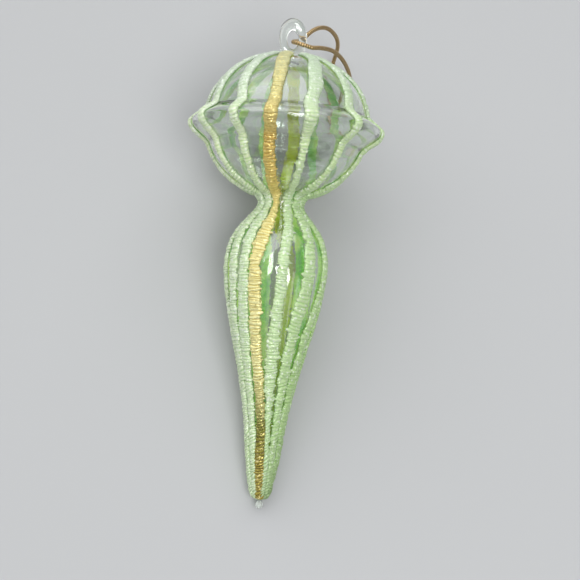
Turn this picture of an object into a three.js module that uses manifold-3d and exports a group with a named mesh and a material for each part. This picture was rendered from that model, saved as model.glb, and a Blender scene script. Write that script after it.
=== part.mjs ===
// Clear glass finial ornament with a hanging cord, lying on its side as it would on a table.
// A blown bulb with a sharp ridge round its middle narrows to a waist and runs out in a long hollow drop.
// Raised ribs of glitter run over the glass from the hanging eye to the tip.
// Millimetres, +Z up. Inside the ornament's own group +Y runs along its axis towards the eye,
// heights are counted from the plane of the ridge, and azimuths are counted from straight up.
import * as THREE from 'three';
import { mergeVertices } from 'three/addons/utils/BufferGeometryUtils.js';
import Module from 'manifold-3d';

// Bulb
const bulbRadius = 26.2;
const ridgeRadius = 31.4;
const ridgeAbove = 5.2;
const ridgeBelow = 7.2;
const domeFoot = 3;
const domeRise = 20.9;
const bowlDepth = 23;

// Waist and drop
const waistRadius = 6.5;
const waistFlare = 1.7;
const waistHeight = 3.4;
const bellyRadius = 16.2;
const waistToBelly = 21.8;
const bellyToEnd = 75.05;
const endRadius = 1.5;

// Glass walls, the bore at the pole and the solid end of the drop
const wall = 1.2;
const boreRadius = 2.5;
const solidEnd = 24;

// Hanging eye
const eyeWidth = 9.7;
const eyeHeight = 12.7;
const eyeDepth = 2.4;
const holeWidth = 3.9;
const holeHeight = 6.2;
const holeFloor = 2.25;
const eyeTurn = 12;
const eyeSink = 1;
const legPower = 0.5;
const footRadius = 4.8;
const footHeight = 1.5;
const stemLength = 2.2;

// Bead at the tip
const beadRadius = 1.25;
const beadHalfLength = 1.22;

// Glitter ribs
const ribWidth = 3.9;
const ribThickness = 1.1;
const ribGap = 0.5;
const goldRibExtra = 0.3;

// Cord and knot, with the cord's route by eye: from the knot on the table up behind the eye,
// round one leg of the eye through its hole, and back down to the knot
const cordDiameter = 1.5;
const cordSteps = 48;
const knotLength = 5;
const knotWidth = 3.6;
const tableLift = 0.05;
const cordRoute = [
  [19.9, 65.9, 1.3],
  [19.6, 68.4, 1.0],
  [18.6, 75.0, 0.9],
  [18.5, 78.9, 0.9],
  [18.6, 81.6, 1.8],
  [18.9, 83.5, 4.2],
  [19.1, 84.3, 7.8],
  [18.8, 84.6, 12.2],
  [17.8, 84.6, 17.0],
  [15.8, 84.1, 22.2],
  [13.0, 83.2, 27.0],
  [9.9, 81.1, 31.0],
  [7.0, 78.2, 33.8],
  [4.6, 75.3, 34.7],
  [2.6, 73.4, 35.1],
  [0.9, 72.4, 36.2],
  [0.4, 71.3, 38.0],
  [1.6, 70.2, 39.7],
  [4.0, 69.3, 40.3],
  [6.5, 69.1, 39.6],
  [8.9, 70.2, 37.7],
  [11.5, 71.5, 35.0],
  [14.1, 72.8, 31.6],
  [16.7, 73.6, 27.6],
  [19.2, 73.8, 23.2],
  [21.2, 73.7, 18.8],
  [22.9, 73.4, 14.2],
  [24.0, 72.7, 9.8],
  [24.2, 71.4, 6.2],
  [23.8, 69.9, 3.4],
  [22.9, 68.3, 1.7],
  [22.0, 65.9, 1.3],
].map((place) => new THREE.Vector3(...place));

// Clearances between pieces that touch on the real ornament
const seat = 0.3;

const ringSegments = 32;

// Azimuth of each rib in degrees, at the stations given by ribStations, by eye from the eye end to the tip
const goldRibs = {
  gold_rib_front: [-15, -12, -11.5, -17.5, -17, -29, -29.5, -25, -17],
  gold_rib_back: [170, 170, 169.5, 172, 175, 157, 159, 163, 163],
};
const mintRibs = {
  mint_rib_01: [26, 15, 6.5, 6, 10, 2, -1.5, -1, 9],
  mint_rib_02: [49, 44, 40, 39, 39, 35, 27, 28, 35],
  mint_rib_03: [73, 77, 81, 75, 65, 67, 55, 57, 61],
  mint_rib_04: [98, 105, 113, 103, 92, 99, 89, 87, 87],
  mint_rib_05: [122, 129, 137, 125, 117, 124, 115, 112, 112],
  mint_rib_06: [146, 151, 156.5, 147, 143, 143, 135, 137, 138],
  mint_rib_07: [194, 193, 190.5, 191, 199, 188, 189.5, 188, 189],
  mint_rib_08: [218, 216, 214, 211, 224, 213, 213, 214, 215],
  mint_rib_09: [242, 242, 242, 235, 248, 245, 241, 240, 240],
  mint_rib_10: [266, 265, 265, 261, 271, 275, 267, 267, 265],
  mint_rib_11: [291, 293, 295, 293, 295, 298, 289, 288, 291],
  mint_rib_12: [316, 319, 323, 323, 319, 316.5, 310.5, 309, 317],
};

// The shape of the ridge, the shoulder and the taper, as shares of the sizes above
const ridgeShares = [1, 0.85, 0.68, 0.5, 0.32, 0.15];
const shoulderShares = [[0.13, 0.11], [0.3, 0.43], [0.45, 0.69], [0.6, 0.86], [0.8, 0.97]];
const taperShares = [
  [0.1, 0.065], [0.22, 0.19], [0.37, 0.388], [0.52, 0.568],
  [0.66, 0.697], [0.79, 0.775], [0.9, 0.862], [0.97, 0.935],
];

const radians = THREE.MathUtils.degToRad;

// Heights that follow from the sizes
const bowlEndAngle = Math.acos((waistRadius + waistFlare) / bulbRadius);
const waist = -(bowlDepth * Math.sin(bowlEndAngle) + waistHeight);
const belly = waist - waistToBelly;
const dropEnd = belly - bellyToEnd;
const hollowEnd = dropEnd + solidEnd;
const ribStations = [
  domeFoot + domeRise,
  domeFoot + domeRise / 2,
  0,
  -0.55 * bowlDepth,
  waist,
  belly,
  belly - 0.3 * bellyToEnd,
  belly - 0.58 * bellyToEnd,
  dropEnd,
];

const clearGlass = new THREE.MeshStandardMaterial({
  color: 0xdcefe2, roughness: 0.05, metalness: 0, transparent: true, opacity: 0.35,
});
const mintGlitter = new THREE.MeshStandardMaterial({ color: 0xd5ebc5, roughness: 0.45, metalness: 0.1 });
const goldGlitter = new THREE.MeshStandardMaterial({ color: 0xe9cf7f, roughness: 0.35, metalness: 0.8 });
const goldCord = new THREE.MeshStandardMaterial({ color: 0xb98d4a, roughness: 0.45, metalness: 0.6 });

// One point of an outline: its radius and its height
function point(radius, height) {
  return new THREE.Vector2(radius, height);
}

// The glass outline from the pole down to the end of the drop, or the same outline inset by a wall
function outline(inset, lowest) {
  const radius = bulbRadius - inset;
  const bulge = ridgeRadius - bulbRadius;
  const points = [];
  const poleAngle = Math.acos(boreRadius / radius);
  const footAngle = Math.acos((footRadius + seat) / radius);
  const creaseAngle = Math.asin((ridgeAbove - domeFoot) / domeRise);
  const domeSteps = 7;
  const domeAngles = [poleAngle];
  for (let i = 0; i < domeSteps; i++) {
    domeAngles.push(THREE.MathUtils.lerp(footAngle, creaseAngle, i / domeSteps));
  }
  for (const angle of domeAngles) {
    points.push(point(radius * Math.cos(angle), domeFoot + (domeRise - inset) * Math.sin(angle)));
  }
  const swell = (share) => bulge * (0.5 + 0.5 * Math.cos(Math.PI * share));
  for (const share of ridgeShares) {
    points.push(point(radius + swell(share), share * ridgeAbove));
  }
  points.push(point(radius + bulge, 0));
  for (const share of [...ridgeShares].reverse()) {
    const angle = Math.asin((share * ridgeBelow) / bowlDepth);
    points.push(point(radius * Math.cos(angle) + swell(share), -share * ridgeBelow));
  }
  const bowlStart = Math.asin(ridgeBelow / bowlDepth);
  const bowlSteps = 7;
  for (let i = 1; i <= bowlSteps; i++) {
    const angle = THREE.MathUtils.lerp(bowlStart, bowlEndAngle, i / bowlSteps);
    points.push(point(radius * Math.cos(angle), -bowlDepth * Math.sin(angle)));
  }
  points.push(point(waistRadius - inset, waist));
  for (const [share, gain] of shoulderShares) {
    const height = THREE.MathUtils.lerp(waist, belly, share);
    points.push(point(THREE.MathUtils.lerp(waistRadius, bellyRadius, gain) - inset, height));
  }
  points.push(point(bellyRadius - inset, belly));
  for (const [share, loss] of taperShares) {
    const height = THREE.MathUtils.lerp(belly, dropEnd, share);
    points.push(point(THREE.MathUtils.lerp(bellyRadius, endRadius, loss) - inset, height));
  }
  return points.filter((each) => each.y > lowest);
}

const skin = [...outline(0, dropEnd), point(endRadius, dropEnd)];

// Outward normal of the glass at a point of its outline
function normalAt(index) {
  const before = skin[Math.max(index - 1, 0)];
  const after = skin[Math.min(index + 1, skin.length - 1)];
  return new THREE.Vector2(before.y - after.y, after.x - before.x).normalize();
}

// The azimuth of a rib at a height, eased from station to station
function azimuthAt(stations, height) {
  const next = ribStations.findIndex((each) => each <= height);
  if (next === 0) return stations[0];
  if (next < 0) return stations.at(-1);
  const share = (ribStations[next - 1] - height) / (ribStations[next - 1] - ribStations[next]);
  return THREE.MathUtils.lerp(stations[next - 1], stations[next], 0.5 - 0.5 * Math.cos(Math.PI * share));
}

// A closed body from rings of as many points each, with both ends capped
function loft(rings) {
  const sides = rings[0].length;
  const index = [];
  for (let ring = 0; ring < rings.length - 1; ring++) {
    for (let side = 0; side < sides; side++) {
      const a = ring * sides + side;
      const b = ring * sides + ((side + 1) % sides);
      index.push(a, b, b + sides, a, b + sides, a + sides);
    }
  }
  const last = (rings.length - 1) * sides;
  for (let side = 1; side < sides - 1; side++) {
    index.push(0, side + 1, side);
    index.push(last, last + side, last + side + 1);
  }
  const geometry = new THREE.BufferGeometry().setFromPoints(rings.flat());
  geometry.setIndex(index);
  geometry.computeVertexNormals();
  return geometry;
}

// Only the positions of a geometry, with shared corners joined
function welded(geometry) {
  const plain = geometry.clone();
  plain.deleteAttribute('normal');
  plain.deleteAttribute('uv');
  return mergeVertices(plain, 1e-4);
}

// Joins two overlapping solids into one
async function fused(first, second) {
  const library = await Module();
  library.setup();
  const [a, b] = [first, second].map((geometry) => {
    const { position } = geometry.attributes;
    return new library.Manifold(new library.Mesh({
      numProp: 3,
      vertProperties: new Float32Array(position.array),
      triVerts: new Uint32Array(geometry.index.array),
    }));
  });
  const mesh = a.add(b).getMesh();
  const geometry = new THREE.BufferGeometry();
  geometry.setAttribute('position', new THREE.BufferAttribute(mesh.vertProperties, 3));
  geometry.setIndex(new THREE.BufferAttribute(mesh.triVerts, 1));
  geometry.computeVertexNormals();
  return geometry;
}

function named(name, geometry, material) {
  const mesh = new THREE.Mesh(geometry, material);
  mesh.name = name;
  return mesh;
}

// The blown body: one wall from the bore at the pole to the solid end of the drop
function glassBody() {
  const hollow = outline(wall, hollowEnd + wall);
  const profile = [
    ...skin,
    point(0, dropEnd - endRadius / 3),
    point(0, hollowEnd),
    ...hollow.reverse(),
  ];
  profile.push(profile[0].clone());
  return named('glass_body', new THREE.LatheGeometry(profile.reverse(), ringSegments), clearGlass);
}

// A rod of glass between an outer and an inner oval, as a closed ring of oval sections.
// Below its middle the outer oval is squarer, so that the legs stand nearly straight.
function eyeRing(bottom) {
  const steps = 24;
  const sides = 10;
  const holeMiddle = bottom + holeFloor + holeHeight / 2;
  const points = [];
  const index = [];
  for (let step = 0; step < steps; step++) {
    const turn = (2 * Math.PI * step) / steps;
    const power = turn > Math.PI ? legPower : 1;
    const across = Math.sign(Math.cos(turn)) * Math.abs(Math.cos(turn)) ** power;
    const out = point(eyeWidth / 2 * across, bottom + eyeHeight / 2 * (1 + Math.sin(turn)));
    const inn = point(holeWidth / 2 * Math.cos(turn), holeMiddle + holeHeight / 2 * Math.sin(turn));
    for (let side = 0; side < sides; side++) {
      const around = (2 * Math.PI * side) / sides;
      const place = inn.clone().lerp(out, 0.5 + 0.5 * Math.cos(around));
      points.push(new THREE.Vector3(place.x, place.y, eyeDepth / 2 * Math.sin(around)));
      const a = step * sides + side;
      const b = step * sides + ((side + 1) % sides);
      const [c, d] = [a, b].map((each) => (each + sides) % (steps * sides));
      index.push(a, c, b, b, c, d);
    }
  }
  const geometry = new THREE.BufferGeometry().setFromPoints(points);
  geometry.setIndex(index);
  geometry.rotateY(radians(eyeTurn));
  return geometry;
}

// The eye is a rod bent to a loop on a low round foot, whose stem plugs the bore at the pole
async function hangingEye() {
  const pole = skin[0].y;
  const rim = domeFoot + domeRise * Math.sqrt(1 - (footRadius / bulbRadius) ** 2) + seat;
  const stem = boreRadius - seat;
  const foot = new THREE.LatheGeometry([
    point(0, pole - stemLength),
    point(stem, pole - stemLength),
    point(stem, pole + seat),
    point(footRadius, rim),
    point(footRadius, rim + 0.2 * footHeight),
    point(0.85 * footRadius, rim + 0.6 * footHeight),
    point(0.5 * footRadius, rim + 0.9 * footHeight),
    point(0, rim + footHeight),
  ], 24);
  const ring = eyeRing(rim + footHeight - eyeSink);
  return named('hanging_eye', await fused(welded(foot), ring), clearGlass);
}

// The bead left where the glass was drawn off
function tipBead() {
  const bead = new THREE.SphereGeometry(beadRadius, 16, 10);
  bead.scale(1, beadHalfLength / beadRadius, 1);
  bead.translate(0, dropEnd - endRadius / 3 - seat - beadHalfLength, 0);
  return named('tip_bead', bead, clearGlass);
}

// A band of glitter on the skin, crowned across, no wider than its neighbours leave room for
function rib(name, stations, others, width, material) {
  const rings = [];
  skin.forEach((foot, index) => {
    if (index === 0) return;
    const normal = normalAt(index);
    const azimuth = azimuthAt(stations, foot.y);
    const nearest = Math.min(...others.map((other) => {
      const apart = THREE.MathUtils.euclideanModulo(azimuthAt(other, foot.y) - azimuth, 360);
      return Math.min(apart, 360 - apart);
    }));
    const room = 2 * (foot.x + seat * normal.x) * Math.tan(radians(nearest) / 2) - ribGap;
    const half = Math.min(width, room) / 2;
    const rise = Math.min(ribThickness, 1.6 * half);
    const section = [[-half, 0], [half, 0], [0.9 * half, 0.65 * rise], [0, rise], [-0.9 * half, 0.65 * rise]];
    const turn = radians(azimuth);
    rings.push(section.map(([across, up]) => {
      const radius = foot.x + (seat + up) * normal.x;
      const height = foot.y + (seat + up) * normal.y;
      return new THREE.Vector3(
        radius * Math.sin(turn) + across * Math.cos(turn),
        height,
        radius * Math.cos(turn) - across * Math.sin(turn),
      );
    }));
  });
  return named(name, loft(rings), material);
}

function ribs() {
  const all = { ...goldRibs, ...mintRibs };
  return Object.entries(all).map(([name, stations]) => {
    const others = Object.values(all).filter((each) => each !== stations);
    const gold = name in goldRibs;
    return rib(name, stations, others, ribWidth + (gold ? goldRibExtra : 0), gold ? goldGlitter : mintGlitter);
  });
}

// The ornament rests on the two lowest ribs where they cross the ridge, and on a rib or the bead near its tip
function restingTilt() {
  const [left, right] = [goldRibs.gold_rib_back[2], mintRibs.mint_rib_07[2]];
  const reach = (ridgeRadius + seat + ribThickness) * Math.cos(radians((right - left) / 2));
  const onRibs = skin
    .filter((each) => each.y < belly && each.y > dropEnd)
    .map((each) => Math.atan2(reach - (each.x + seat + ribThickness), -each.y));
  const beadCentre = endRadius / 3 + seat + beadHalfLength - dropEnd;
  const onBead = Math.atan2(reach, beadCentre) - Math.asin(beadRadius / Math.hypot(reach, beadCentre));
  return Math.min(...onRibs, onBead);
}

// The cord as one tube of eight sides along its route
function hangingCord() {
  const sides = 8;
  const section = new THREE.Shape(Array.from({ length: sides }, (_, side) => {
    const turn = (2 * Math.PI * side) / sides;
    return point(cordDiameter / 2 * Math.cos(turn), cordDiameter / 2 * Math.sin(turn));
  }));
  const tube = new THREE.ExtrudeGeometry(section, {
    steps: cordSteps,
    extrudePath: new THREE.CatmullRomCurve3(cordRoute),
  });
  return named('hanging_cord', tube, goldCord);
}

// The knot that joins both ends of the cord, just past where they end
function cordKnot() {
  const [first, last] = [cordRoute[0], cordRoute.at(-1)];
  const knot = new THREE.SphereGeometry(knotWidth / 2, 14, 10);
  knot.scale(1, knotLength / knotWidth, 1);
  const mesh = named('cord_knot', knot, goldCord);
  const reach = seat + knotLength / 2;
  mesh.position.set((first.x + last.x) / 2, Math.min(first.y, last.y) - reach, knotWidth / 2 + tableLift);
  return mesh;
}

const ornament = new THREE.Group();
ornament.add(glassBody(), await hangingEye(), tipBead(), ...ribs());
ornament.rotation.x = restingTilt();
ornament.updateMatrixWorld(true);
const box = new THREE.Box3().setFromObject(ornament, true);
const middle = box.getCenter(new THREE.Vector3());
ornament.position.set(-middle.x, -middle.y, -box.min.z);

const finial = new THREE.Group();
finial.add(ornament, hangingCord(), cordKnot());

export default finial;
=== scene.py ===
# A clear glass finial with glitter ribs, lying on a table with its gold hanging cord.
# Metres, +Z up. The ornament's own axis runs from its tip to its hanging eye.
import math
import bpy
import numpy as np
from mathutils import Matrix, Quaternion, Vector


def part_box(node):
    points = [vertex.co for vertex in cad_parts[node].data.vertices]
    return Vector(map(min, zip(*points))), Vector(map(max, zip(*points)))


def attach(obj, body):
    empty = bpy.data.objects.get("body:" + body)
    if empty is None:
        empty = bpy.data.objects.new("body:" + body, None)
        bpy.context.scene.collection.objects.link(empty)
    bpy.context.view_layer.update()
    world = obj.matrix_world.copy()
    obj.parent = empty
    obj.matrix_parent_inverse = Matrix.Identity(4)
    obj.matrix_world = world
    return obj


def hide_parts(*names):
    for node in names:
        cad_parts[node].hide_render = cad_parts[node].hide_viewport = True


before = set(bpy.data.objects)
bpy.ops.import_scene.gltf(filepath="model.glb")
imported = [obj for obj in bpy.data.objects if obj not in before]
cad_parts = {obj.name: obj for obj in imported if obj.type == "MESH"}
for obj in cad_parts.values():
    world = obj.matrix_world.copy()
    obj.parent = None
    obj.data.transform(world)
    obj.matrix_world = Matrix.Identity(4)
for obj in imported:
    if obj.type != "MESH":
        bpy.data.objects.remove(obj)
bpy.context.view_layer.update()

bpy.ops.object.select_all(action="DESELECT")
mm = 0.001

# Camera: it looks down on the lying ornament from above its tip, rolled a little, as the photograph does.
# Its lens matches a photograph taken from about 0.4 m.
lens_place = Vector((-34.23, -112.52, 398.32)) * mm
lens_aim = Vector((5.11, -9.02, 20.0)) * mm
lens_roll = math.radians(24.38)
camera = bpy.data.objects.new("camera", bpy.data.cameras.new("camera"))
bpy.context.collection.objects.link(camera)
camera.data.lens = 74.3
camera.data.sensor_width = 36
camera.data.clip_start = 0.01
camera.location = lens_place
camera.rotation_mode = "QUATERNION"
sight = (lens_aim - lens_place).to_track_quat("-Z", "Y")
camera.rotation_quaternion = sight @ Quaternion((0, 0, 1), lens_roll)
bpy.context.scene.camera = camera


# Hanging cord: gold thread twisted in three strands round a soft core, one length of it.
# It is looped through the eye and both ends meet in a knot on the table behind the bulb.
class Value:
    """A socket of a shader tree, so that sums on it can be written as Python expressions."""

    def __init__(self, finish, socket):
        self.finish = finish
        self.socket = socket

    def _sum(self, operation, first, second):
        return self.finish.node("ShaderNodeMath", {"operation": operation}, first, second)

    def __add__(self, other):
        return self._sum("ADD", self, other)

    def __radd__(self, other):
        return self._sum("ADD", other, self)

    def __sub__(self, other):
        return self._sum("SUBTRACT", self, other)

    def __rsub__(self, other):
        return self._sum("SUBTRACT", other, self)

    def __mul__(self, other):
        return self._sum("MULTIPLY", self, other)

    def __rmul__(self, other):
        return self._sum("MULTIPLY", other, self)

    def __pow__(self, other):
        return self._sum("POWER", self, other)

    def __gt__(self, other):
        return self._sum("GREATER_THAN", self, other)


class Finish:
    """A material whose nodes are added one by one, with its Principled shader ready."""

    def __init__(self, name, **constants):
        self.material = bpy.data.materials.new(name)
        self.material.use_nodes = True
        self.tree = self.material.node_tree
        self.shader = self.tree.nodes["Principled BSDF"]
        self.set(**constants)

    def link(self, value, socket):
        if isinstance(value, Value):
            self.tree.links.new(value.socket, socket)
        elif value is not None:
            socket.default_value = value

    def set(self, **values):
        """Sets or links sockets of the Principled shader; base_color stands for Base Color."""
        for name, value in values.items():
            title = name.replace("_", " ").title().replace("Ior", "IOR")
            self.link(value, self.shader.inputs[title])

    def node(self, kind, settings=None, *inputs, output=0, **named_inputs):
        """Adds a node, gives it its settings, then its inputs in order or by name."""
        node = self.tree.nodes.new(kind)
        for name, value in (settings or {}).items():
            setattr(node, name, value)
        for socket, value in zip(node.inputs, inputs):
            self.link(value, socket)
        for name, value in named_inputs.items():
            self.link(value, node.inputs[name.replace("_", " ").title()])
        return Value(self, node.outputs[output])

    def mix(self, share, first, second):
        """A blend of two colours; a colour is a link or three numbers.
        A Mix node takes the share at input 0 and colours at 6 and 7, and its blend is output 2."""
        node = self.tree.nodes.new("ShaderNodeMix")
        node.data_type = "RGBA"
        self.link(share, node.inputs[0])
        for colour, index in ((first, 6), (second, 7)):
            self.link((*colour, 1) if isinstance(colour, tuple) else colour, node.inputs[index])
        return Value(self, node.outputs[2])

    def place(self):
        return self.node("ShaderNodeTexCoord", output="Object")

    def attribute(self, name):
        return self.node("ShaderNodeAttribute", {"attribute_name": name}, output="Fac")

    def noise(self, scale, detail=2.0):
        return self.node("ShaderNodeTexNoise", None, self.place(), Scale=scale, Detail=detail)

    def cells(self, scale):
        """Small cells, each with a colour of its own."""
        return self.node("ShaderNodeTexVoronoi", None, self.place(), Scale=scale, output="Color")


def smooth_line(points, steps):
    """A centripetal Catmull-Rom curve through the points, with that many steps between neighbours."""
    knots = np.vstack([2 * points[0] - points[1], points, 2 * points[-1] - points[-2]])
    line = []
    for before, start, end, after in zip(knots, knots[1:], knots[2:], knots[3:]):
        span_before, span, span_after = [max(np.linalg.norm(b - a), 1e-9) ** 0.5
                                         for a, b in ((before, start), (start, end), (end, after))]
        straight = (end - start) / span
        leave = (start - before) / span_before - (end - before) / (span_before + span) + straight
        arrive = straight - (after - start) / (span + span_after) + (after - end) / span_after
        leave, arrive = leave * span, arrive * span
        for t in np.arange(steps) / steps:
            line.append(start * (2 * t**3 - 3 * t**2 + 1) + leave * (t**3 - 2 * t**2 + t)
                        + end * (3 * t**2 - 2 * t**3) + arrive * (t**3 - t**2))
    line.append(points[-1])
    return np.array(line)


def even_line(line, step):
    """The same line with points a step apart, and how far along each of them is."""
    along = np.concatenate([[0], np.cumsum(np.linalg.norm(np.diff(line, axis=0), axis=1))])
    places = np.linspace(0, along[-1], max(2, round(along[-1] / step) + 1))
    return np.stack([np.interp(places, along, line[:, k]) for k in range(line.shape[1])], axis=1), places


def level_frames(line):
    """Two directions square to the line at each point, carried along it without twisting."""
    ahead = np.gradient(line, axis=0)
    ahead /= np.linalg.norm(ahead, axis=1)[:, None]
    off_the_line = (0.3, 0.2, 1.0)
    side = np.cross(ahead[0], off_the_line)
    sides = []
    for direction in ahead:
        side = side - direction * (side @ direction)
        side /= np.linalg.norm(side)
        sides.append(side)
    sides = np.array(sides)
    return sides, np.cross(ahead, sides)


def loft(name, rings, attributes=None):
    """A closed mesh object from rings of as many points each, its two ends closed by fans."""
    count, sides = rings.shape[:2]
    points = rings.reshape(-1, 3)
    ring, side = np.meshgrid(np.arange(count - 1), np.arange(sides), indexing="ij")
    a = (ring * sides + side).ravel()
    b = (ring * sides + (side + 1) % sides).ravel()
    faces = np.stack([a, b, b + sides, a + sides], axis=1).tolist()
    middles = [rings[0].mean(axis=0), rings[-1].mean(axis=0)]
    first, last = len(points), len(points) + 1
    end = (count - 1) * sides
    for k in range(sides):
        faces.append([first, (k + 1) % sides, k])
        faces.append([last, end + k, end + (k + 1) % sides])
    mesh = bpy.data.meshes.new(name)
    mesh.from_pydata(np.vstack([points, middles]).tolist(), [], faces)
    for title, values in (attributes or {}).items():
        layer = mesh.attributes.new(title, "FLOAT", "POINT")
        flat = np.asarray(values, float).ravel()
        layer.data.foreach_set("value", np.append(flat, [flat[0], flat[-1]]))
    mesh.validate()
    piece = bpy.data.objects.new(name, mesh)
    bpy.context.collection.objects.link(piece)
    mesh.shade_smooth()
    return piece


def face_outwards(piece):
    """Merges the doubles of a closed piece and turns its faces outwards."""
    bpy.ops.object.select_all(action="DESELECT")
    bpy.context.view_layer.objects.active = piece
    piece.select_set(True)
    bpy.ops.object.mode_set(mode="EDIT")
    bpy.ops.mesh.select_all(action="SELECT")
    bpy.ops.mesh.remove_doubles(threshold=0.001 * mm)
    bpy.ops.mesh.normals_make_consistent(inside=False)
    bpy.ops.object.mode_set(mode="OBJECT")
    bpy.ops.object.select_all(action="DESELECT")


def wound_cord(name, line, radius):
    """A round cord of three soft strands under a close winding of metal thread, along a line."""
    strands, lay_length, thread_pitch = 3, 4.2 * mm, 0.75 * mm
    core_share, strand_share, thread_share = 0.77, 0.10, 0.13
    sides, step = 20, 0.12 * mm
    line, along = even_line(line, step)
    across, up = level_frames(line)
    turn = np.linspace(0, 2 * np.pi, sides, endpoint=False)
    twist = turn[None, :] * strands / 2 + np.pi * strands * along[:, None] / lay_length
    strand = np.abs(np.cos(twist)) ** 0.6
    thread = np.abs(np.sin(np.pi * along / thread_pitch))[:, None] ** 0.5
    reach = radius * (core_share + strand_share * strand + thread_share * thread)
    rings = line[:, None] + reach[..., None] * (
        np.cos(turn)[None, :, None] * across[:, None] + np.sin(turn)[None, :, None] * up[:, None])
    wound = np.repeat((along / thread_pitch)[:, None], sides, axis=1)
    piece = loft(name, rings, {"crest": strand, "wound": wound})
    return piece, line


def gold_thread_finish():
    """Metal thread in pale and worn gold with bright flecks, and a painted shade, dark brown, in the grooves
    between its strands and between its windings.
    """
    pale_gold, worn_gold, bright_gold = (0.95, 0.70, 0.34), (0.52, 0.30, 0.10), (1.0, 0.88, 0.62)
    shade_between_strands, shade_between_threads = (0.20, 0.09, 0.03), (0.07, 0.03, 0.01)
    finish = Finish("gold_thread", metallic=0.85, ior=1.5)
    strand = finish.attribute("crest")
    wound = finish.attribute("wound")
    thread = finish.node("ShaderNodeMath", {"operation": "PINGPONG"}, wound, 0.5) * 2.0
    fleck = finish.noise(2600.0)
    worn = finish.noise(160.0)
    gold = finish.mix(worn * 0.5, pale_gold, worn_gold)
    gold = finish.mix((fleck > 0.60) * 0.7, gold, bright_gold)
    # Painted shade: the hollows between the three strands are darkened.
    gold = finish.mix(0.5 + strand * 0.5, shade_between_strands, gold)
    height = thread + fleck * 0.3
    # Painted shade in the grooves between the windings, in the base colour below.
    finish.set(
        base_color=finish.mix(thread ** 0.8, shade_between_threads, gold),
        roughness=0.20 + fleck * 0.25,
        normal=finish.node("ShaderNodeBump", None, Strength=0.8, Distance=0.08 * mm, Height=height),
    )
    return finish.material


cord_diameter = 1.5 * mm
cord_route = np.array([
    (19.9, 65.9, 1.3), (19.6, 68.4, 1.0), (18.6, 75.0, 0.9), (18.5, 78.9, 0.9),
    (18.6, 81.6, 1.8), (18.9, 83.5, 4.2), (19.1, 84.3, 7.8), (18.8, 84.6, 12.2),
    (17.8, 84.6, 17.0), (15.8, 84.1, 22.2), (13.0, 83.2, 27.0), (9.9, 81.1, 31.0),
    (7.0, 78.2, 33.8), (4.6, 75.3, 34.7), (2.6, 73.4, 35.1), (0.9, 72.4, 36.2),
    (0.4, 71.3, 38.0), (1.6, 70.2, 39.7), (4.0, 69.3, 40.3), (6.5, 69.1, 39.6),
    (8.9, 70.2, 37.7), (11.5, 71.5, 35.0), (14.1, 72.8, 31.6), (16.7, 73.6, 27.6),
    (19.2, 73.8, 23.2), (21.2, 73.7, 18.8), (22.9, 73.4, 14.2), (24.0, 72.7, 9.8),
    (24.2, 71.4, 6.2), (23.8, 69.9, 3.4), (22.9, 68.3, 1.7), (22.0, 65.9, 1.3),
]) * mm
gold_thread = gold_thread_finish()
cord, cord_line = wound_cord("gold_cord", smooth_line(cord_route, 10), cord_diameter / 2)
cord.data.materials.append(gold_thread)
face_outwards(cord)
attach(cord, "root")
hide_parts("hanging_cord")

# Knot: the cord's two ends wound about each other and pulled tight, so the cord is a little thinner here.
# Two short tails of the same cord stick out of it along the table, and two leads meet the cord's ends.
knot_radius, knot_turns, knot_pitch = 1.05 * mm, 2.4, 1.4 * mm
tight_radius, tail_radius = 0.72 * mm, 0.70 * mm
knot_low, knot_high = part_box("cord_knot")
knot_middle = (np.array(knot_low) + np.array(knot_high)) / 2
turns = np.linspace(-knot_turns / 2, knot_turns / 2, 40)
winding = np.stack([
    knot_middle[0] + knot_radius * np.cos(2 * np.pi * turns),
    knot_middle[1] - knot_pitch * turns,
    knot_middle[2] + knot_radius * np.sin(2 * np.pi * turns),
], axis=1)
tails = [
    [(0.4, -0.9, 1.9), (0.9, -2.5, 1.6), (1.7, -4.6, 0.9), (2.6, -7.0, 0.85), (2.9, -9.4, 0.85)],
    [(-0.3, -0.9, 1.8), (-0.7, -2.3, 1.3), (-1.3, -4.4, 0.9), (-1.6, -6.6, 0.85), (-2.6, -8.4, 0.85)],
]
leads = [
    [(-0.3, 0.9, 1.8), (-0.8, 1.9, 1.5), (-1.05, 2.8, 1.3), (-1.06, 3.0, 1.28)],
    [(0.3, 0.9, 1.8), (0.75, 1.9, 1.5), (1.05, 2.8, 1.3), (1.1, 3.0, 1.32)],
]
knot_pieces = [wound_cord("tied_knot", winding, tight_radius)[0]]
under_knot = Vector((knot_middle[0], knot_middle[1], 0))
for end_route in tails + leads:
    route = np.array([under_knot + Vector(point) * mm for point in end_route])
    knot_pieces.append(wound_cord("tail", smooth_line(route, 8), tail_radius)[0])
for piece in knot_pieces:
    piece.data.materials.append(gold_thread)
    face_outwards(piece)
for piece in knot_pieces:
    piece.select_set(True)
knot = knot_pieces[0]
bpy.context.view_layer.objects.active = knot
bpy.ops.object.join()
bpy.ops.object.select_all(action="DESELECT")
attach(knot, "root")
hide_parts("cord_knot")

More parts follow.
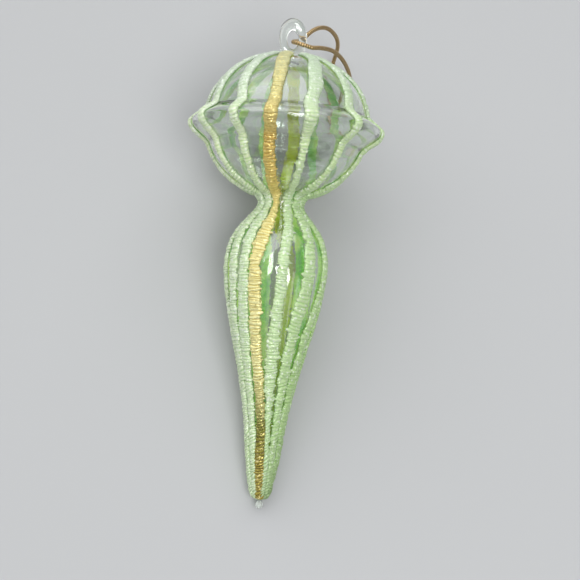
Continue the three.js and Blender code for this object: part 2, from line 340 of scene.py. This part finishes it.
# Glass body: one bubble of clear glass blown in a ridged mould, thin walled, drawn out to a solid point.
# Its outline is turned round the axis, outside and inside, with the bore left at the pole.
# The sizes of the glass and of all that is on it are in millimetres, and heights count up from the ridge.
tilt = math.radians(13.3297)
ridge_centre = Vector((0.1395, 42.9703, 31.3868)) * mm
lay_turn = np.array(Matrix.Rotation(tilt, 3, "X"))
bulb_radius, ridge_radius, ridge_above, ridge_below = 26.2, 31.4, 5.2, 7.2
dome_foot, dome_rise, bowl_depth = 3.0, 20.9, 23.0
waist_radius, waist_flare, waist_height = 6.5, 1.7, 3.4
belly_radius, waist_to_belly, belly_to_end, end_radius = 16.2, 21.8, 75.05, 1.5
glass_wall, bore_radius, solid_end, foot_edge = 1.2, 2.5, 24.0, 5.1
hollow_round, drop_round = 0.8, 0.5
bowl_end_angle = math.acos((waist_radius + waist_flare) / bulb_radius)
waist = -(bowl_depth * math.sin(bowl_end_angle) + waist_height)
belly = waist - waist_to_belly
drop_end = belly - belly_to_end


def laid(points):
    """Points (across, along, up) of the ornament's own frame in millimetres, as it lies on the table."""
    points = np.asarray(points, float) * mm
    return points @ lay_turn.T + np.array(ridge_centre)


def glass_outline(inset):
    """Radius and height down the glass from the bore to the end of the drop, inset by a wall."""
    radius, bulge = bulb_radius - inset, ridge_radius - bulb_radius
    pole = math.acos(bore_radius / radius)
    foot = math.acos(foot_edge / radius)
    crease = math.asin((ridge_above - dome_foot) / dome_rise)
    points = [(radius * math.cos(a), dome_foot + (dome_rise - inset) * math.sin(a))
              for a in (pole, *np.linspace(foot, crease, 12, endpoint=False))]
    shares = np.array([1, 0.85, 0.68, 0.5, 0.32, 0.15])
    swell = bulge * (0.5 + 0.5 * np.cos(np.pi * shares))
    points += [(radius + s, h * ridge_above) for s, h in zip(swell, shares)]
    points.append((radius + bulge, 0.0))
    for s, h in zip(swell[::-1], shares[::-1]):
        angle = math.asin(h * ridge_below / bowl_depth)
        points.append((radius * math.cos(angle) + s, -h * ridge_below))
    bowl_start = math.asin(ridge_below / bowl_depth)
    points += [(radius * math.cos(a), -bowl_depth * math.sin(a))
               for a in np.linspace(bowl_start, bowl_end_angle, 11)[1:]]
    points.append((waist_radius - inset, waist))
    shoulder = [(0.13, 0.11), (0.3, 0.43), (0.45, 0.69), (0.6, 0.86), (0.8, 0.97)]
    points += [(waist_radius + g * (belly_radius - waist_radius) - inset, waist + h * (belly - waist))
               for h, g in shoulder]
    points.append((belly_radius - inset, belly))
    taper = [(0.1, 0.065), (0.22, 0.19), (0.37, 0.388), (0.52, 0.568),
             (0.66, 0.697), (0.79, 0.775), (0.9, 0.862), (0.97, 0.935)]
    points += [(belly_radius + g * (end_radius - belly_radius) - inset, belly + h * (drop_end - belly))
               for h, g in taper]
    points.append((end_radius - inset, drop_end))
    return np.array(points)


def turned(name, profile, steps=128):
    """A closed piece spun from a profile of radius and height that starts and ends on the axis."""
    mesh = bpy.data.meshes.new(name)
    points = laid([(radius, height, 0) for radius, height in profile])
    mesh.from_pydata(points.tolist(), [(k, k + 1) for k in range(len(points) - 1)], [])
    piece = bpy.data.objects.new(name, mesh)
    bpy.context.collection.objects.link(piece)
    bpy.context.view_layer.objects.active = piece
    piece.select_set(True)
    bpy.ops.object.mode_set(mode="EDIT")
    bpy.ops.mesh.select_all(action="SELECT")
    bpy.ops.mesh.spin(steps=steps, angle=2 * math.pi, center=ridge_centre, axis=Vector(lay_turn[:, 1]))
    bpy.ops.object.mode_set(mode="OBJECT")
    face_outwards(piece)
    piece.data.shade_smooth()
    return piece


def clear_glass_finish():
    """Thin blown glass with a breath of green and the faint waves left by the blowing."""
    finish = Finish("clear_glass", base_color=(0.94, 0.988, 0.94, 1), roughness=0.015, ior=1.5,
                    transmission_weight=1.0, coat_weight=1.0, coat_ior=1.7, coat_roughness=0.02)
    waves = finish.noise(90.0, 1.0)
    finish.set(normal=finish.node("ShaderNodeBump", None, Strength=0.25, Distance=0.3 * mm, Height=waves))
    return finish.material


clear_glass = clear_glass_finish()
quarter = np.linspace(0, math.pi / 2, 7)
outer = smooth_line(glass_outline(0.0), 4)
end_cap = [(end_radius * math.cos(a), drop_end - drop_round * math.sin(a)) for a in quarter[1:]]
inner = smooth_line(glass_outline(glass_wall), 4)
inner = inner[inner[:, 1] > drop_end + solid_end + hollow_round]
hollow_cap = [(inner[-1, 0] * math.cos(a), inner[-1, 1] - hollow_round * math.sin(a)) for a in quarter[1:]]
glass = turned("blown_glass", np.vstack([hollow_cap[::-1], inner[::-1], outer, end_cap]))
glass.data.materials.append(clear_glass)
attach(glass, "root")
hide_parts("glass_body")

# Hanging eye: a gather of clear glass on the pole, pulled into a loop while soft.
# It is thick at the top, and runs into a low round foot whose stem plugs the bore.
eye_width, eye_height, eye_depth, leg_power = 9.7, 12.7, 2.4, 0.5
hole_width, hole_height, hole_floor = 3.9, 6.2, 2.25
eye_turn, eye_sink, eye_lift = math.radians(12), 1.0, 0.24
foot_radius, foot_height, foot_gap, foot_lift, foot_start = 4.8, 1.5, 0.06, 0.15, 2.6
stem_radius, stem_length, stem_bevel = 2.2, 2.2, 0.3


def dome_height(radius):
    """Height of the dome's outside at a distance from the axis."""
    return dome_foot + dome_rise * math.sqrt(1 - (radius / bulb_radius) ** 2)


pole = float(outer[0, 1])
stem_end = pole - stem_length
foot_rim = dome_height(foot_radius) + foot_gap
foot_side = foot_rim + foot_lift
eye_bottom = foot_rim + foot_height - eye_sink + eye_lift
foot_profile = [(0, stem_end), (stem_radius - stem_bevel, stem_end), (stem_radius, stem_end + stem_bevel),
                (stem_radius, pole + foot_gap)]
foot_profile += [(r, dome_height(r) + foot_gap) for r in np.linspace(foot_start, foot_radius, 5)]
foot_profile += [(foot_radius * math.cos(a) ** 0.8, foot_side + foot_height * math.sin(a) ** 1.3)
                 for a in quarter[:-1]]
foot_profile.append((0, foot_side + foot_height))
eye = turned("glass_eye", foot_profile, 64)
bpy.ops.mesh.primitive_torus_add(major_segments=72, minor_segments=28, major_radius=1.0, minor_radius=0.25)
loop = bpy.context.object
middle_out = eye_bottom + eye_height / 2
middle_in = eye_bottom + hole_floor + hole_height / 2
for vertex in loop.data.vertices:
    x, y, z = vertex.co
    turn, around = math.atan2(y, x), math.atan2(z, math.hypot(x, y) - 1.0)
    share = 0.5 + 0.5 * math.cos(around)
    power = leg_power if turn < 0 else 1
    outer_across = eye_width * math.copysign(abs(math.cos(turn)) ** power, math.cos(turn))
    across = ((1 - share) * hole_width * math.cos(turn) + share * outer_across) / 2
    height = (hole_height + share * (eye_height - hole_height)) / 2
    along = middle_in + share * (middle_out - middle_in) + height * math.sin(turn)
    deep = eye_depth / 2 * math.sin(around)
    place = (across * math.cos(eye_turn) + deep * math.sin(eye_turn), along,
             deep * math.cos(eye_turn) - across * math.sin(eye_turn))
    vertex.co = laid([place])[0]
face_outwards(loop)
loop.select_set(True)
eye.select_set(True)
bpy.context.view_layer.objects.active = eye
bpy.ops.object.join()
remesh = eye.modifiers.new("melt", "REMESH")
remesh.mode = "VOXEL"
remesh.voxel_size = 0.11 * mm
bpy.ops.object.modifier_apply(modifier="melt")
soften = eye.modifiers.new("soften", "SMOOTH")
soften.factor = 0.5
soften.iterations = 10
bpy.ops.object.modifier_apply(modifier="soften")
eye.data.shade_smooth()
bpy.ops.object.select_all(action="DESELECT")
eye.data.materials.clear()
eye.data.materials.append(clear_glass)
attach(eye, "root")
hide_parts("hanging_eye")

# Tip bead: the drop of clear glass left where the point was drawn off in the flame.
# A short neck joins it to the drop, and the flame left its skin frosted.
bead_radius, bead_half_length, bead_gap, neck_angle = 1.25, 1.22, 0.3, 0.9
bead_middle = drop_end - end_radius / 3 - bead_gap - bead_half_length
neck = [(0, drop_end - 0.53), (0.75, drop_end - 0.6), (0.72, drop_end - 0.85)]
bead_profile = neck + [(bead_radius * math.cos(a), bead_middle + bead_half_length * math.sin(a))
                       for a in np.linspace(neck_angle, -math.pi / 2, 16)]
bead = turned("glass_bead", bead_profile, 48)
frosted_glass = Finish("frosted_glass", base_color=(0.90, 0.95, 0.90, 1), roughness=0.35, ior=1.45,
                       transmission_weight=0.6)
bead.data.materials.append(frosted_glass.material)
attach(bead, "root")
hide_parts("tip_bead")

# Glitter ribs: clear glue trailed over the glass from the eye to the tip, then rolled in glitter.
# Each trail set in small cross ridges with ragged edges. Two opposite ribs are gold, the others mint white.
# Near the tip the front gold one bends to the right, and its neighbours follow it in part.

# Each list of azimuths in degrees, and of shares of the rib's width, goes by these heights from the eye down.
rib_stations = [dome_foot + dome_rise, dome_foot + dome_rise / 2, 0, -0.55 * bowl_depth, waist,
                belly, belly - 0.3 * belly_to_end, belly - 0.58 * belly_to_end, drop_end]
gold_ribs = {
    "gold_rib_front": [-15, -13, -14.5, -17.5, -19, -29, -29.5, -25, -17],
    "gold_rib_back": [170, 170, 169.5, 172, 175, 157, 159, 163, 163],
}
mint_ribs = {
    "mint_rib_01": [26, 15, 8.5, 9, 11.5, 2, -1.5, -1, 9],
    "mint_rib_02": [49, 44, 40, 39, 39, 35, 27, 28, 35],
    "mint_rib_03": [73, 77, 81, 75, 65, 67, 55, 57, 61],
    "mint_rib_04": [98, 105, 113, 103, 92, 99, 89, 87, 87],
    "mint_rib_05": [122, 129, 137, 125, 117, 124, 115, 112, 112],
    "mint_rib_06": [146, 151, 156.5, 147, 143, 143, 135, 137, 138],
    "mint_rib_07": [194, 193, 190.5, 191, 199, 188, 189.5, 188, 189],
    "mint_rib_08": [218, 216, 214, 211, 224, 213, 213, 214, 215],
    "mint_rib_09": [242, 242, 242, 235, 248, 245, 241, 240, 240],
    "mint_rib_10": [266, 265, 265, 261, 271, 275, 267, 267, 265],
    "mint_rib_11": [291, 293, 295, 293, 295, 298, 289, 288, 291],
    "mint_rib_12": [316, 319, 323, 323, 319, 316.5, 310.5, 309, 317],
}
all_ribs = {**gold_ribs, **mint_ribs}
rib_width, rib_gap, rib_rise, rib_seat, rib_sides, rib_step = 3.9, 0.18, 1.3, 0.08, 15, 0.11
rib_merge, merge_length, claim_start, claim_end, room_lift = 0.5, 30, 34, 20, 0.3
mint_spread = [0.9, 1.0, 0.86, 0.68, 0.85, 1.08, 1.1, 1.1, 1.2]
gold_spread = [1.1, 1.12, 1.06, 0.9, 1.0, 1.22, 1.15, 1.1, 1.2]
own_spread = {"mint_rib_01": [1.15, 1.3, 1.1, 0.62, 0.8, 0.95, 1.0, 1.0, 1.2],
              "mint_rib_02": [0.9, 1.0, 0.86, 0.7, 0.9, 1.3, 1.05, 1.0, 1.2]}
bend_heights = [0, 7.4, 14.2, 22.8, 31.5, 36, 45]
bend_degrees = [4, 5, 5.5, 8, 4, 1.6, 0]
bend_share = {"gold_rib_front": 1.0, "mint_rib_01": 0.4, "mint_rib_12": 0.5}
gold_ridges = {"pitch": 0.78, "depths": [0.12, 0.20, 0.46, 0.32, 0.60], "claim": 1.8}
mint_ridges = {"pitch": 0.84, "depths": [0.10, 0.14, 0.22, 0.27, 0.40], "claim": 1.0}


def azimuth_at(name, heights):
    """A rib's azimuth in degrees at each height, eased between stations, with its bend near the tip."""
    stations = all_ribs[name]
    result = np.empty(len(heights))
    for k, height in enumerate(heights):
        after = next((n for n, station in enumerate(rib_stations) if station <= height), len(rib_stations))
        if after in (0, len(rib_stations)):
            result[k] = stations[min(after, len(stations) - 1)]
            continue
        share = (rib_stations[after - 1] - height) / (rib_stations[after - 1] - rib_stations[after])
        ease = 0.5 - 0.5 * math.cos(math.pi * share)
        result[k] = stations[after - 1] + (stations[after] - stations[after - 1]) * ease
    return result + bend_share.get(name, 0) * np.interp(heights - drop_end, bend_heights, bend_degrees)


def rib_bed(name, spread, claim):
    """What a rib lies on, at even steps down the glass, and how far along each step is: its place,
    the way out of the glass, half the rib's width and its azimuth. Near the tip a rib merges with
    its neighbours, and claims so many times its own share of the room."""
    under = outer[(outer[:, 0] > foot_edge - 0.01) | (outer[:, 1] < 0)]
    heights = under[:, 1]
    azimuth = azimuth_at(name, heights)
    nearest = np.full(len(under), 180.0)
    for other in all_ribs:
        if other != name:
            apart = np.mod(azimuth_at(other, heights) - azimuth, 360)
            nearest = np.minimum(nearest, np.minimum(apart, 360 - apart))
    slope = np.gradient(under, axis=0)
    normal = np.stack([-slope[:, 1], slope[:, 0]], axis=1)
    normal /= np.linalg.norm(normal, axis=1)[:, None]
    merge = np.clip((drop_end + merge_length - heights) / merge_length, 0, 1) * (rib_gap + rib_merge)
    room = 2 * (under[:, 0] + room_lift * normal[:, 0]) * np.tan(np.radians(nearest) / 2) - rib_gap + merge
    room *= np.interp(heights, [drop_end + claim_end, drop_end + claim_start], [claim, 1])
    width = rib_width * np.interp(-heights, [-station for station in rib_stations], spread)
    half = np.minimum(width, room) / 2
    turn = np.radians(azimuth)
    foot = np.stack([under[:, 0] * np.sin(turn), heights, under[:, 0] * np.cos(turn)], axis=1)
    out = np.stack([normal[:, 0] * np.sin(turn), normal[:, 1], normal[:, 0] * np.cos(turn)], axis=1)
    return even_line(np.hstack([foot, out, half[:, None], turn[:, None]]), rib_step)


def cross_ridges(along, pitch, u, draw):
    """The uneven ridges across a rib, where u runs from one edge, -1, to the other, 1: how near
    its crest each point is, how strong its ridge is, and how far its ragged edge sticks out."""
    spacing, strength, leaning, bowing = (0.35, 1.85), (0.05, 1.15), (0.08, 0.24), (0.14, 0.20)
    tip_lean, spike_chance, spike_size = 0.45, 0.12, 2.4
    length = along[-1]
    down = along / length
    marks = np.cumsum(draw.uniform(*spacing, int(length / pitch * 1.5)) * pitch)
    count = len(marks)
    numbers = np.arange(count)
    phase = np.interp(along, marks, numbers)
    strong = np.interp(phase, numbers, draw.uniform(*strength, count))
    lean = np.interp(phase, numbers, draw.normal(*leaning, count))
    lean += np.interp(down, [0.78, 0.90], [0, tip_lean])
    bow = np.interp(phase, numbers, draw.normal(*bowing, count))
    ragged = np.interp(down, [0, 0.25, 0.45, 0.8, 1], [0.05, 0.10, 0.25, 0.21, 0.07])
    spikes = [draw.normal(0, 1, count) + spike_size * (draw.uniform(0, 1, count) > 1 - spike_chance)
              for side in range(2)]
    cycle = phase[:, None] + lean[:, None] * u + bow[:, None] * u ** 2
    which = np.clip(cycle.astype(int), 0, count - 1)
    crest = np.abs(np.sin(np.pi * cycle)) ** 0.8
    spike = np.where(u > 0, spikes[0][which], spikes[1][which]) * np.abs(u) ** 3 * crest * ragged[:, None]
    return crest, strong, spike


def soft_lumps(along, draw):
    """The slow unevenness of glue laid by hand: how far each edge bulges, and the crown's share."""
    lump_pitch, smooth_part, bulge, sag = 1.5, 0.3, 0.13, 0.10
    lumps = np.arange(0, along[-1], lump_pitch)
    uneven = lumps > smooth_part * along[-1]
    bulges = [np.interp(along, lumps, draw.normal(0, bulge, len(lumps)) * uneven) for side in range(2)]
    crown = 1 - np.abs(np.interp(along, lumps, draw.normal(0, sag, len(lumps))))
    return bulges, crown


def glitter_rib(name, spread, ridges, draw):
    """One ragged ridged band that follows its azimuths down the glass, and its faces on the glass."""
    end_length, steepest, groove_pinch = 0.9, 1.5, 0.07
    wander_share, wander_most, wander_waves = 0.05, 1.06, (7.3, 2.9, 1.3)
    bed, along = rib_bed(name, spread, ridges["claim"])
    foot, out, half, turn = bed[:, :3], bed[:, 3:6], bed[:, 6], bed[:, 7:]
    out /= np.linalg.norm(out, axis=1)[:, None]
    across = np.cross(out, np.gradient(foot, axis=0))
    across /= np.linalg.norm(across, axis=1)[:, None]
    around = np.linspace(0, np.pi, rib_sides)
    u = np.cos(around)
    crest, strong, spike = cross_ridges(along, ridges["pitch"], u, draw)
    bulges, crown = soft_lumps(along, draw)
    length = along[-1]
    down = along / length
    ends = np.clip(np.minimum(along, length - along) / end_length, 0.05, 1) ** 0.5
    wander = 1 + sum(wander_share * np.sin(along / wave + draw.uniform(0, 6)) for wave in wander_waves)
    reach = half * ends * np.minimum(wander, wander_most)
    body = np.minimum(rib_rise, steepest * half) * ends * crown
    deep = np.interp(down, [0, 0.12, 0.25, 0.8, 1], ridges["depths"])
    lift = np.sin(around) ** 0.7 * body[:, None] * (1 - (deep * strong)[:, None] * (1 - crest))
    sideways = u * reach[:, None] * (1 - groove_pinch * (1 - crest)) + np.sign(u) * spike
    sideways += np.where(u > 0, bulges[0][:, None], -bulges[1][:, None]) * u ** 2
    rings = (foot[:, None] + across[:, None] * sideways[..., None]
             + out[:, None] * (rib_seat + lift)[..., None])
    points = laid(rings.reshape(-1, 3)).reshape(rings.shape)
    share = np.repeat(down[:, None], rib_sides, axis=1)
    # How far towards the ornament's right side each point lies, which carries the painted shade on that side.
    side = np.repeat(0.5 + 0.5 * np.sin(turn), rib_sides, axis=1)
    piece = loft(name.replace("rib", "glitter"), points, {"crest": crest, "down": share, "side": side})
    glue = [face.index for face in piece.data.polygons
            if len(face.vertices) == 4 and {v % rib_sides for v in face.vertices} == {0, rib_sides - 1}]
    return piece, glue


def glitter_finish(name, stops, flake_colour, cloud_colour, blotch_colour, sparkle_share, tip_sparkle,
                   tip_dark, metal, painted_shade_colour=None, painted_shade_share=0.0):
    """Glitter flakes in clear glue: each flake has a shade and a lean of its own.
    A stop is a share of the way down, a crest colour and a groove colour; the darker groove colour is partly
    the glitter's own and partly painted shade in the grooves.
    The ornament's right side may take a painted shade colour, darker still near the tip, standing for the
    light falling from the left."""
    flake_scale, sparkle_scale, cloud_scale, blotch_scale = 2900.0, 1600.0, 240.0, 95.0
    finish = Finish(name, ior=1.5, coat_weight=0.15, coat_roughness=0.25)
    down = finish.attribute("down")
    tip = down ** 8
    flake = finish.cells(flake_scale)
    bright = finish.node("ShaderNodeSeparateColor", None, flake) > 0.70
    sparkle = finish.node("ShaderNodeSeparateColor", None, finish.cells(sparkle_scale)) > 0.92
    cloud = finish.noise(cloud_scale, 3.0)
    blotch = finish.noise(blotch_scale, 2.0)
    ridge = finish.attribute("crest") ** 1.1
    # Grooves between the cross ridges take the darker groove colour: partly the glitter's own colour there,
    # partly painted shade.
    start, crest_colour, groove_colour_and_shade = stops[0]
    colour = finish.mix(ridge, groove_colour_and_shade, crest_colour)
    for end, crest_colour, groove_colour_and_shade in stops[1:]:
        reach = finish.node("ShaderNodeMapRange", None, down, start, end, 0.0, 1.0)
        colour = finish.mix(reach, colour, finish.mix(ridge, groove_colour_and_shade, crest_colour))
        start = end
    colour = finish.mix(bright * (0.5 - tip * tip_dark), colour, flake_colour)
    colour = finish.mix((cloud - 0.35) * 0.5, colour, cloud_colour)
    colour = finish.mix((blotch - 0.45) * 0.6, colour, blotch_colour)
    # Painted shade: the right side of the ornament is tinted towards a darker colour, more so down the drop
    # and darker still near the tip.
    if painted_shade_colour:
        shaded = finish.node("ShaderNodeVectorMath", {"operation": "SCALE"}, painted_shade_colour, Scale=1 - tip * 0.6)
        colour = finish.mix(finish.attribute("side") * (0.3 + down) * painted_shade_share, colour, shaded)
    colour = finish.mix(sparkle * (sparkle_share + tip * tip_sparkle), colour, flake_colour)
    lean = finish.node("ShaderNodeVectorMath", {"operation": "SUBTRACT"}, flake, (0.5, 0.5, 0.5))
    lean = finish.node("ShaderNodeVectorMath", {"operation": "SCALE"}, lean, Scale=0.55)
    straight = finish.node("ShaderNodeNewGeometry", output="Normal")
    leaning = finish.node("ShaderNodeVectorMath", {"operation": "ADD"}, straight, lean)
    finish.set(
        base_color=colour,
        metallic=bright * metal,
        roughness=0.55 - bright * 0.25,
        normal=finish.node("ShaderNodeVectorMath", {"operation": "NORMALIZE"}, leaning),
    )
    return finish.material


def glue_finish(name, colour, deep_colour, belly_painted_glow):
    """The side on the glass: wet glue with the backs of the glitter in it. Its emission is a painted glow
    that stands for light let through the glue.
    The glow shows from the belly on, by the share given for the belly, and less again near the tip."""
    finish = Finish(name, ior=1.5, roughness=0.35)
    cloud = finish.noise(130.0, 4.0)
    share = finish.node("ShaderNodeMapRange", None, cloud, 0.40, 0.58, 0.0, 1.0)
    tint = finish.mix(share, deep_colour, colour)
    down = finish.attribute("down")
    belly_part = finish.node("ShaderNodeMapRange", None, down, 0.3, 0.5, 0.55, belly_painted_glow)
    drop_part = finish.node("ShaderNodeMapRange", None, down, 0.6, 0.78, 1.0, 0.6)
    # Painted glow: an emission on the glue, stronger from the belly on, that stands for light coming through
    # it.
    painted_glow = finish.mix(belly_part * drop_part, (0.0, 0.0, 0.0), tint)
    finish.set(base_color=tint, emission_color=painted_glow, emission_strength=0.44)
    return finish.material


mint_glitter = glitter_finish(
    "mint_glitter",
    # The mint stops are partly the glitter's own change of colour, greyer on the dome and greener below, and
    # partly painted light: the dome is made darker and the bowl, at 0.28, lighter, to even out how the lamps
    # light them.
    stops=[
        (0.0, (0.56, 0.63, 0.56), (0.42, 0.54, 0.38)),
        (0.14, (0.62, 0.71, 0.57), (0.44, 0.58, 0.36)),
        (0.28, (0.90, 1.0, 0.64), (0.52, 0.74, 0.30)),
        (0.4, (0.77, 0.88, 0.59), (0.34, 0.56, 0.20)),
    ],
    flake_colour=(0.94, 1.0, 0.92), cloud_colour=(0.46, 0.70, 0.36), blotch_colour=(0.86, 0.93, 0.80),
    sparkle_share=0.6, tip_sparkle=-0.55, tip_dark=0.45, metal=0.3,
    # A painted shade, a darker green, on the ornament's right side.
    painted_shade_colour=(0.34, 0.60, 0.15), painted_shade_share=0.62,
)
mint_glue = glue_finish("mint_glue", (0.70, 1.0, 0.26), (0.16, 0.60, 0.06), belly_painted_glow=1.0)
gold_glitter = glitter_finish(
    "gold_glitter",
    stops=[
        (0.0, (0.61, 0.69, 0.48), (0.50, 0.50, 0.24)),
        (0.16, (0.68, 0.66, 0.33), (0.54, 0.44, 0.11)),
        (0.27, (0.72, 0.49, 0.10), (0.38, 0.19, 0.025)),
        (0.36, (0.84, 0.68, 0.20), (0.54, 0.36, 0.06)),
        (0.48, (0.98, 0.92, 0.46), (0.70, 0.54, 0.14)),
        (0.76, (0.90, 0.92, 0.48), (0.50, 0.40, 0.08)),
        (0.86, (0.16, 0.19, 0.005), (0.04, 0.035, 0.001)),
        (0.94, (0.30, 0.24, 0.015), (0.03, 0.015, 0.001)),
    ],
    flake_colour=(1.0, 0.88, 0.42), cloud_colour=(0.50, 0.40, 0.06), blotch_colour=(0.80, 0.74, 0.26),
    sparkle_share=0.3, tip_sparkle=0.45, tip_dark=0.45, metal=0.9,
)
gold_glue = glue_finish("gold_glue", (0.82, 1.0, 0.01), (0.46, 0.50, 0.005), belly_painted_glow=0.42)
first_seed = 40
for number, name in enumerate(all_ribs):
    gold = name in gold_ribs
    spread = own_spread.get(name, gold_spread if gold else mint_spread)
    ridges = gold_ridges if gold else mint_ridges
    rib, glue_faces = glitter_rib(name, spread, ridges, np.random.default_rng(first_seed + number))
    for material in (gold_glitter, gold_glue) if gold else (mint_glitter, mint_glue):
        rib.data.materials.append(material)
    for index in glue_faces:
        rib.data.polygons[index].material_index = 1
    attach(rib, "root")
    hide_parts(name)

# Table: a plain pale sheet, wide enough to fill every view, swept up at its far edge.
# It is matt, lies just under the ornament and takes its shadow.
table_radius, sweep_radius, table_drop = 2.4, 0.5, 0.0002
table_profile = [(0.0, 0.0), (table_radius, 0.0)]
table_profile += [(table_radius + sweep_radius * math.sin(a), sweep_radius - sweep_radius * math.cos(a))
                  for a in quarter[1:]]
table = bpy.data.objects.new("table", bpy.data.meshes.new("table"))
table.data.from_pydata([(r, 0, h - table_drop) for r, h in table_profile],
                       [(k, k + 1) for k in range(len(table_profile) - 1)], [])
bpy.context.collection.objects.link(table)
bpy.context.view_layer.objects.active = table
bpy.ops.object.mode_set(mode="EDIT")
bpy.ops.mesh.select_all(action="SELECT")
bpy.ops.mesh.spin(steps=64, angle=2 * math.pi, center=(0, 0, 0), axis=(0, 0, 1))
bpy.ops.mesh.select_all(action="SELECT")
bpy.ops.mesh.remove_doubles(threshold=mm)
bpy.ops.object.mode_set(mode="OBJECT")
table.data.shade_smooth()
table_finish = Finish("table", base_color=(0.50, 0.51, 0.52, 1), roughness=0.7, specular_ior_level=0.2)
table.data.materials.append(table_finish.material)

# Light: one long soft box behind and to the left, and a small weak one overhead.
# The room round them is white and dim, darker low down than high up.
soft_boxes = [
    ("key_light", (-0.79, 1.63, 1.45), (5.9, 3.3), 74.0),
    ("fill_light", (0.20, -0.35, 0.95), (0.5, 0.5), 4.3),
]
for name, place, (length, width), power in soft_boxes:
    lamp = bpy.data.objects.new(name, bpy.data.lights.new(name, "AREA"))
    bpy.context.collection.objects.link(lamp)
    lamp.data.shape = "RECTANGLE"
    lamp.data.size, lamp.data.size_y = length, width
    lamp.data.energy = power
    lamp.location = place
    lamp.rotation_euler = (-Vector(place)).to_track_quat("-Z", "Y").to_euler()
world = bpy.data.worlds.new("room")
bpy.context.scene.world = world
world.use_nodes = True
tree = world.node_tree
room_low, room_high, room_dim, room_bright = 0.1, 0.9, 0.04, 0.60
room_height = tree.nodes.new("ShaderNodeSeparateXYZ")
room_shade = tree.nodes.new("ShaderNodeMapRange")
for socket, value in zip(room_shade.inputs[1:], (room_low, room_high, room_dim, room_bright)):
    socket.default_value = value
tree.links.new(tree.nodes.new("ShaderNodeTexCoord").outputs["Generated"], room_height.inputs["Vector"])
tree.links.new(room_height.outputs["Z"], room_shade.inputs["Value"])
tree.links.new(room_shade.outputs["Result"], tree.nodes["Background"].inputs["Strength"])
tree.nodes["Background"].inputs["Color"].default_value = (1.0, 1.0, 1.0, 1)

bpy.context.scene.view_settings.view_transform = "Standard"
bpy.ops.object.select_all(action="DESELECT")
